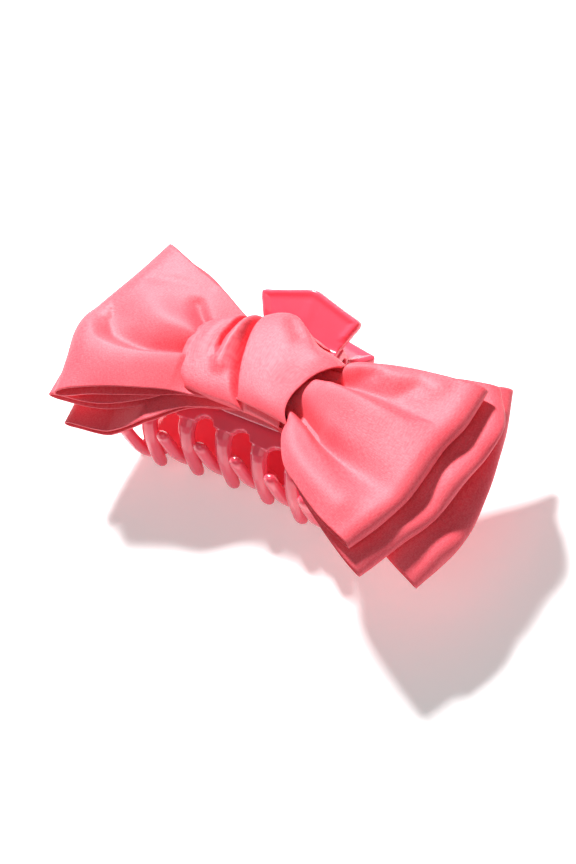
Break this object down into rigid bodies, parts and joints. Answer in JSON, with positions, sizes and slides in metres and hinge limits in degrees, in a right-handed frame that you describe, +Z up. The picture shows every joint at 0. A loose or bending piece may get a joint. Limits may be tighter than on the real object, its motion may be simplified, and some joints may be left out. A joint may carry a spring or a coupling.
{
  "type": "claw hair clip with bow",
  "caption": "Spring claw hair clip: two toothed jaws with thumb paddles on a hinge pin, and a layered satin bow glued to the front jaw.",
  "frame": {"origin": "middle of the flat land on the outside of the rear jaw, which the clip rests on", "axes": "+X along the hinge and the bow's length, +Y towards the thumb paddles, -Y towards the teeth, +Z up through the bow"},
  "size_m": [0.1287, 0.0796, 0.0433],
  "materials": {
    "moulded_plastic": "glossy moulded coral pink plastic",
    "steel": "plain drawn steel wire",
    "adhesive": "set hot-melt glue",
    "felt": "pressed felt",
    "satin": "matt satin weave with a soft sheen",
    "thread": "twisted polyester thread"
  },
  "bodies": {
    "rear_half": {"rear_jaw": "moulded_plastic", "hinge_pin": "steel", "torsion_spring": "steel"},
    "front_half": {"front_jaw": "moulded_plastic", "glue_pad": "adhesive", "felt_backing": "felt", "bow_bottom_layer": "satin", "bow_middle_layer": "satin", "bow_top_layer": "satin", "waist_thread": "thread", "knot_wrap": "satin"}
  },
  "joints": [
    {"name": "jaw_hinge", "type": "hinge", "parent": "rear_half", "child": "front_half", "pos_m": [0, 0.02625, 0.0148], "axis": [-1, 0, 0], "range_deg": [0, 70], "stiffness_Nm_per_rad": 0.08, "springref_deg": -80.21, "deforming": ["torsion_spring"]}
  ]
}
